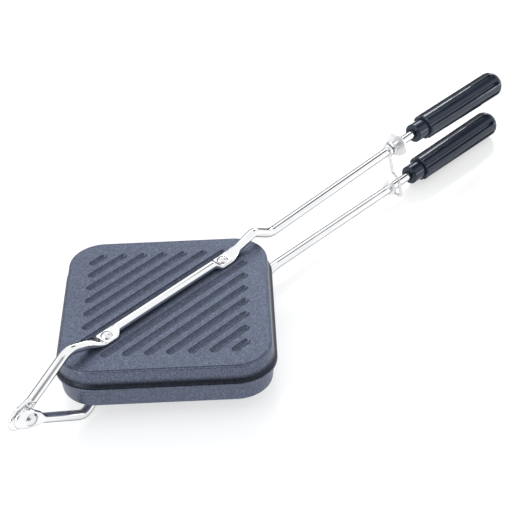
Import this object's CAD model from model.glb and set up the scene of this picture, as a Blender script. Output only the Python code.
import math

import bpy
from mathutils import Matrix, Vector

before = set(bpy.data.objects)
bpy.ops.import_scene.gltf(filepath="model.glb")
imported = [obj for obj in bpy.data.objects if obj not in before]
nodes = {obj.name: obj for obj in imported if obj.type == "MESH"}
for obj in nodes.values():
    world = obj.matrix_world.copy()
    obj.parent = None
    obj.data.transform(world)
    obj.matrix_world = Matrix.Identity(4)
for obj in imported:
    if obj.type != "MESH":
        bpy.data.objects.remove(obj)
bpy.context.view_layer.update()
scene = bpy.context.scene

# The camera, in metres: it looks down over the near corner of the pans, along the rods
camera_place = (-0.4141, -0.4871, 0.5450)
camera_azimuth = 44.677    # of its line of sight, in degrees from +X
camera_elevation = 36.749  # looking down by this
camera_roll = -2.35
camera_clip = (0.01, 20.0)
sensor_width = 36.0
lens_length = 94.0


def add_camera():
    azimuth = math.radians(camera_azimuth)
    elevation = math.radians(camera_elevation)
    forward = Vector((
        math.cos(azimuth) * math.cos(elevation),
        math.sin(azimuth) * math.cos(elevation),
        -math.sin(elevation),
    ))
    turn = forward.to_track_quat("-Z", "Y").to_matrix().to_4x4()
    roll = Matrix.Rotation(math.radians(camera_roll), 4, "Z")
    data = bpy.data.cameras.new("camera")
    data.sensor_width = sensor_width
    data.lens = lens_length
    data.clip_start, data.clip_end = camera_clip
    camera = bpy.data.objects.new("camera", data)
    camera.matrix_world = Matrix.Translation(camera_place) @ turn @ roll
    scene.collection.objects.link(camera)
    scene.camera = camera


# Materials. Scales of noise and cells are per metre, heights and distances are in metres.

# The pans' coat: three tones of its flecks, and how it darkens at the lips and in the grooves
coat_dark = (0.076, 0.089, 0.126, 1.0)
coat_tone = (0.109, 0.126, 0.179, 1.0)
coat_fleck = (0.183, 0.212, 0.294, 1.0)
coat_metallic = 0.75
coat_roughness = 0.40
coat_specular = 0.35
fleck_scale = 1500.0
coat_grain_detail = 3.0
coat_grain_height = 0.00005
rim_heights = (0.0268, 0.0270, 0.0293, 0.0322)  # black between the middle two, fading out to the others
rim_tone = 0.2
groove_reach = 0.005       # how near a wall has to be to shade a hollow
groove_samples = 12
groove_openness = (0.55, 0.95)  # from a deep corner to the open face
groove_tone = 0.45

# Bright metals: colour, roughness, scale of the draw marks and how these are stretched along X, Y and Z
along_x = (0.05, 1.0, 1.0)
along_z = (1.0, 1.0, 0.1)
even = (1.0, 1.0, 1.0)
metals = {
    "rod_chrome": ((0.94, 0.94, 0.945, 1.0), 0.06, 400.0, along_x),
    "rivet_steel": ((0.86, 0.86, 0.87, 1.0), 0.26, 900.0, even),
    "hinge_steel": ((0.86, 0.86, 0.87, 1.0), 0.24, 900.0, even),
    "hook_wire": ((0.80, 0.80, 0.81, 1.0), 0.16, 900.0, along_z),
    "ring_steel": ((0.92, 0.92, 0.93, 1.0), 0.45, 900.0, even),
    "insert_brass": ((0.78, 0.60, 0.30, 1.0), 0.25, 900.0, even),
}
edge_tint = (0.0, 0.0, 0.01, 1.0)  # metal seen edge on is nearly black, which outlines the rods
stain_scale = 60.0
stain_detail = 3.0
stain_tone = 0.93
mark_spread = (0.7, 1.3)   # of the roughness, as shares of its mean
mark_height = 0.00002

# The grips
grip_tones = (0.012, 0.017, 0.029, 1.0), (0.019, 0.026, 0.045, 1.0)
grip_cloud_scale = 90.0
grip_smear_scale = 140.0
grip_detail = 4.0
grip_roughness = (0.10, 0.20)
grip_grain_scale = 900.0
grip_grain_height = 0.00002
grip_ior = 1.42
grip_coat = 0.15
grip_coat_roughness = 0.05
grip_gloss_tint = (0.70, 0.84, 1.0, 1.0)

cloud_range = (0.3, 0.7)   # the part of a noise over which a tone changes

# What each node is finished in, where the halves have one of each
both_halves = {
    "pan": "pan_coat",
    "rod": "rod_chrome",
    "grip": "grip_bakelite",
    "grip_insert": "insert_brass",
    "front_rivet": "rivet_steel",
    "rear_rivet": "rivet_steel",
    "rivet_washers": "rivet_steel",
}
single_pieces = {
    "hinge_rivet": "hinge_steel",
    "hinge_spacer": "hinge_steel",
    "hinge_washer": "hinge_steel",
    "latch_hook": "hook_wire",
    "latch_disc": "ring_steel",
    "latch_collar": "ring_steel",
    "stop_collar": "ring_steel",
}


class Shader:
    """A material whose nodes are added and joined by name."""

    def __init__(self, name):
        self.material = bpy.data.materials.new(name)
        self.material.use_nodes = True
        self.tree = self.material.node_tree
        self.surface = self.tree.nodes["Principled BSDF"]
        self.coordinates = self.tree.nodes.new("ShaderNodeTexCoord").outputs["Object"]

    def add(self, kind, **values):
        """Adds a node and sets the inputs that are named, where a space is written as an underscore."""
        node = self.tree.nodes.new("ShaderNode" + kind)
        for name, value in values.items():
            node.inputs[name.replace("_", " ")].default_value = value
        return node

    def link(self, output, target):
        self.tree.links.new(output, target)

    def set(self, **values):
        for name, value in values.items():
            self.surface.inputs[name.replace("_", " ")].default_value = value

    def noise(self, scale, detail=2.0, stretch=even):
        mapping = self.add("Mapping", Scale=stretch)
        node = self.add("TexNoise", Scale=scale, Detail=detail, Roughness=0.5)
        self.link(self.coordinates, mapping.inputs["Vector"])
        self.link(mapping.outputs["Vector"], node.inputs["Vector"])
        return node.outputs["Fac"]

    def cells(self, scale):
        node = self.add("TexVoronoi", Scale=scale)
        self.link(self.coordinates, node.inputs["Vector"])
        return node.outputs["Color"]

    def height(self):
        node = self.add("SeparateXYZ")
        self.link(self.coordinates, node.inputs["Vector"])
        return node.outputs["Z"]

    def ramp(self, value, stops):
        node = self.add("ValToRGB")
        elements = node.color_ramp.elements
        elements[0].position, elements[0].color = stops[0]
        elements[1].position, elements[1].color = stops[-1]
        for place, color in stops[1:-1]:
            elements.new(place).color = color
        self.link(value, node.inputs["Fac"])
        return node.outputs["Color"]

    def cloud(self, value, tones):
        """Spreads two tones over the middle of a noise."""
        return self.ramp(value, list(zip(cloud_range, tones)))

    def multiply(self, first, second):
        node = self.add("VectorMath")
        node.operation = "MULTIPLY"
        self.link(first, node.inputs[0])
        self.link(second, node.inputs[1])
        return node.outputs["Vector"]

    def spread(self, value, source, target):
        """Maps one range of a value to another."""
        limits = dict(zip(("From_Min", "From_Max", "To_Min", "To_Max"), (*source, *target)))
        node = self.add("MapRange", **limits)
        self.link(value, node.inputs["Value"])
        return node.outputs["Result"]

    def bump(self, height, distance):
        node = self.add("Bump", Distance=distance, Strength=1.0)
        self.link(height, node.inputs["Height"])
        self.link(node.outputs["Normal"], self.surface.inputs["Normal"])


def grey(tone):
    return (tone, tone, tone, 1.0)


def pan_coat():
    """Dark non-stick coat: blue-grey with fine flecks, blackened at the lips and darker in the grooves."""
    shader = Shader("pan_coat")
    flecks = shader.ramp(shader.cells(fleck_scale), [(0.0, coat_dark), (0.5, coat_tone), (1.0, coat_fleck)])

    low, high = rim_heights[0], rim_heights[-1]
    tones = (1.0, rim_tone, rim_tone, 1.0)
    stops = [((height - low) / (high - low), grey(tone)) for height, tone in zip(rim_heights, tones)]
    rim = shader.ramp(shader.spread(shader.height(), (low, high), (0.0, 1.0)), stops)

    hollow = shader.add("AmbientOcclusion", Distance=groove_reach)
    hollow.only_local = True
    hollow.samples = groove_samples
    grooves = shader.ramp(hollow.outputs["AO"], list(zip(groove_openness, (grey(groove_tone), grey(1.0)))))

    color = shader.multiply(shader.multiply(flecks, rim), grooves)
    shader.link(color, shader.surface.inputs["Base Color"])
    shader.set(Metallic=coat_metallic, Roughness=coat_roughness, Specular_IOR_Level=coat_specular)
    shader.bump(shader.noise(fleck_scale, coat_grain_detail), coat_grain_height)
    return shader.material


def bright_metal(name, color, roughness, mark_scale, stretch):
    """Plated or polished steel with the faintest stains and draw marks."""
    shader = Shader(name)
    stained = (*(stain_tone * part for part in color[:3]), 1.0)
    stains = shader.cloud(shader.noise(stain_scale, stain_detail), (stained, color))
    shader.link(stains, shader.surface.inputs["Base Color"])
    shader.set(Metallic=1.0, Specular_Tint=edge_tint)
    marks = shader.noise(mark_scale, stretch=stretch)
    limits = [share * roughness for share in mark_spread]
    shader.link(shader.spread(marks, (0.0, 1.0), limits), shader.surface.inputs["Roughness"])
    shader.bump(marks, mark_height)
    return shader.material


def bakelite():
    """Glossy blue-black moulding with smears."""
    shader = Shader("grip_bakelite")
    clouds = shader.cloud(shader.noise(grip_cloud_scale, grip_detail), grip_tones)
    shader.link(clouds, shader.surface.inputs["Base Color"])
    smears = shader.spread(shader.noise(grip_smear_scale, grip_detail), (0.0, 1.0), grip_roughness)
    shader.link(smears, shader.surface.inputs["Roughness"])
    shader.set(IOR=grip_ior, Specular_Tint=grip_gloss_tint)
    shader.set(Coat_Weight=grip_coat, Coat_Roughness=grip_coat_roughness)
    shader.bump(shader.noise(grip_grain_scale), grip_grain_height)
    return shader.material


def assign_materials():
    made = {name: bright_metal(name, *values) for name, values in metals.items()}
    made["pan_coat"] = pan_coat()
    made["grip_bakelite"] = bakelite()
    finishes = dict(single_pieces)
    for half in ("upper", "lower"):
        for piece, finish in both_halves.items():
            finishes[f"{half}_{piece}"] = finish
    for name, finish in finishes.items():
        for slot in nodes[name].material_slots:
            slot.material = made[finish]


# The studio: a white floor, soft boxes, and a world of bright panels with dark gaps that the metal mirrors

floor_middle = (0.1, 0.0, 0.0)
floor_reach = 2.0
floor_tones = (0.9207, 0.9207, 0.9306, 1.0), (0.93, 0.93, 0.94, 1.0)
floor_cloud_scale = 3.0
floor_roughness = 0.10
floor_glow = 0.60
floor_mirror = 0.065
floor_mirror_roughness = 0.22
floor_shade = 0.43

studio_level = 1.03
studio_tone = (0.97, 0.985, 1.0, 1.0)
camera_side = (225.0, 10.0)      # middle of the dark side, azimuth and elevation in degrees
camera_side_reach = (20.0, 50.0)  # its inner and outer angle
camera_side_depth = 0.84
gap_middle = -0.03               # the dark gap overhead, in shares of a unit direction: its middle in Y,
gap_width = (0.19, 0.28)         # half its width there, to the start and the end of its soft edge,
gap_near = (0.50, 0.56)          # and its soft ends in X
gap_far = (0.74, 0.80)
gap_depth = 0.97
horizon_rise = (0.26, 0.40)      # the far wall is darker below this, as a share of a unit direction
horizon_side = (0.0, 0.3)        # and from here on in Y
horizon_depth = 0.85

# Soft boxes: place, target and size in metres, power in watts, and the axis that their length follows,
# without which they stand level
upwards = Vector((0.0, 0.0, 1.0))
rod_line = Vector((1.0, 0.0, 0.0))
no_axis = None
pans_middle = (0.0, 0.0, 0.0)
grips_middle = (0.30, 0.0, 0.05)
lamps = {
    "key_box": ((0.9, 0.9, 1.1), (0.1, 0.0, 0.0), (1.4, 1.0), 2.2, no_axis),
    "far_strip": ((0.67, 0.27, 0.295), grips_middle, (0.36, 0.06), 0.55, rod_line),
    "near_strip": ((0.70, -0.40, 0.035), grips_middle, (0.36, 0.05), 0.35, rod_line),
    "left_box": ((-0.9, 0.5, 0.6), pans_middle, (0.8, 0.8), 3.0, no_axis),
    "low_box": ((-1.2, 0.1, 0.40), pans_middle, (0.8, 0.4), 4.5, no_axis),
}


def add_floor():
    """White sheet. In view and in reflections it glows, mirrors faintly and keeps part of the shadow."""
    bpy.ops.mesh.primitive_plane_add(size=2 * floor_reach, location=floor_middle)
    floor = bpy.context.object
    floor.name = "floor"
    shader = Shader("floor_gloss")
    clouds = shader.cloud(shader.noise(floor_cloud_scale), floor_tones)
    shader.link(clouds, shader.surface.inputs["Base Color"])
    shader.set(Roughness=floor_roughness)
    glow = shader.add("Emission", Color=grey(1.0), Strength=floor_glow)
    mirror = shader.add("BsdfGlossy", Color=grey(floor_mirror), Roughness=floor_mirror_roughness)
    shade = shader.add("BsdfDiffuse", Color=grey(floor_shade))
    first, second = shader.add("AddShader"), shader.add("AddShader")
    shader.link(glow.outputs["Emission"], first.inputs[0])
    shader.link(mirror.outputs["BSDF"], first.inputs[1])
    shader.link(first.outputs["Shader"], second.inputs[0])
    shader.link(shade.outputs["BSDF"], second.inputs[1])

    rays = shader.add("LightPath")
    seen = shader.add("Math")
    seen.operation = "MAXIMUM"
    mix = shader.add("MixShader")
    shader.link(rays.outputs["Is Camera Ray"], seen.inputs[0])
    shader.link(rays.outputs["Is Glossy Ray"], seen.inputs[1])
    shader.link(seen.outputs["Value"], mix.inputs["Fac"])
    shader.link(shader.surface.outputs["BSDF"], mix.inputs[1])
    shader.link(second.outputs["Shader"], mix.inputs[2])
    shader.link(mix.outputs["Shader"], shader.tree.nodes["Material Output"].inputs["Surface"])
    floor.data.materials.append(shader.material)


def add_area(name, place, target, size, power, long_axis):
    """A soft box that faces a target, level, or with its length as near as can be to an axis."""
    data = bpy.data.lights.new(name, "AREA")
    data.shape = "RECTANGLE"
    data.size, data.size_y = size
    data.energy = power
    light = bpy.data.objects.new(name, data)
    back = (Vector(place) - Vector(target)).normalized()
    if long_axis is no_axis:
        side = upwards.cross(back)
    else:
        side = long_axis - long_axis.dot(back) * back
    side.normalize()
    turn = Matrix((side, back.cross(side), back)).transposed().to_4x4()
    light.matrix_world = Matrix.Translation(place) @ turn
    scene.collection.objects.link(light)


class WorldShader:
    """The world's nodes, which work out its level from the direction."""

    def __init__(self, name):
        self.world = bpy.data.worlds.new(name)
        self.world.use_nodes = True
        self.tree = self.world.node_tree
        self.direction = self.tree.nodes.new("ShaderNodeTexCoord").outputs["Generated"]
        split = self.tree.nodes.new("ShaderNodeSeparateXYZ")
        self.link(self.direction, split.inputs["Vector"])
        self.x, self.y, self.z = split.outputs

    def link(self, output, target):
        self.tree.links.new(output, target)

    def fade(self, value, start, end, low, high):
        """Goes softly from low to high while the value goes from start to end."""
        node = self.tree.nodes.new("ShaderNodeMapRange")
        node.interpolation_type = "SMOOTHSTEP"
        for name, limit in (("From Min", start), ("From Max", end), ("To Min", low), ("To Max", high)):
            node.inputs[name].default_value = limit
        self.link(value, node.inputs["Value"])
        return node.outputs["Result"]

    def calculate(self, operation, *values):
        node = self.tree.nodes.new("ShaderNodeMath")
        node.operation = operation
        for socket, value in zip(node.inputs, values):
            if isinstance(value, float):
                socket.default_value = value
            else:
                self.link(value, socket)
        return node.outputs["Value"]

    def product(self, *values):
        total = values[0]
        for value in values[1:]:
            total = self.calculate("MULTIPLY", total, value)
        return total

    def towards(self, azimuth, elevation):
        """The cosine of the angle to a direction."""
        azimuth, elevation = math.radians(azimuth), math.radians(elevation)
        node = self.tree.nodes.new("ShaderNodeVectorMath")
        node.operation = "DOT_PRODUCT"
        node.inputs[1].default_value = (
            math.cos(azimuth) * math.cos(elevation),
            math.sin(azimuth) * math.cos(elevation),
            math.sin(elevation),
        )
        self.link(self.direction, node.inputs[0])
        return node.outputs["Value"]


def add_world():
    """Bright panels all round, dark on the camera's side, low on the far wall and in a gap overhead."""
    shader = WorldShader("studio")
    inner, outer = (math.cos(math.radians(angle)) for angle in camera_side_reach)
    behind = shader.fade(shader.towards(*camera_side), outer, inner, 1.0, 1.0 - camera_side_depth)

    from_middle = shader.calculate("ABSOLUTE", shader.calculate("SUBTRACT", shader.y, gap_middle))
    gap = shader.product(
        shader.fade(from_middle, *gap_width, gap_depth, 0.0),
        shader.fade(shader.x, *gap_near, 0.0, 1.0),
        shader.fade(shader.x, *gap_far, 1.0, 0.0),
    )
    horizon = shader.product(
        shader.fade(shader.z, *horizon_rise, horizon_depth, 0.0),
        shader.fade(shader.y, *horizon_side, 0.0, 1.0),
    )
    overhead = shader.calculate("SUBTRACT", 1.0, gap)
    far_wall = shader.calculate("SUBTRACT", 1.0, horizon)

    panels = shader.tree.nodes["Background"]
    panels.inputs["Color"].default_value = studio_tone
    shader.link(shader.product(behind, overhead, far_wall, studio_level), panels.inputs["Strength"])
    white = shader.tree.nodes.new("ShaderNodeBackground")
    white.inputs["Color"].default_value = grey(1.0)
    rays = shader.tree.nodes.new("ShaderNodeLightPath")
    mix = shader.tree.nodes.new("ShaderNodeMixShader")
    shader.link(rays.outputs["Is Camera Ray"], mix.inputs["Fac"])
    shader.link(panels.outputs["Background"], mix.inputs[1])
    shader.link(white.outputs["Background"], mix.inputs[2])
    shader.link(mix.outputs["Shader"], shader.tree.nodes["World Output"].inputs["Surface"])
    scene.world = shader.world


add_camera()
assign_materials()
add_floor()
add_world()
for name, lamp in lamps.items():
    add_area(name, *lamp)
scene.view_settings.view_transform = "Standard"
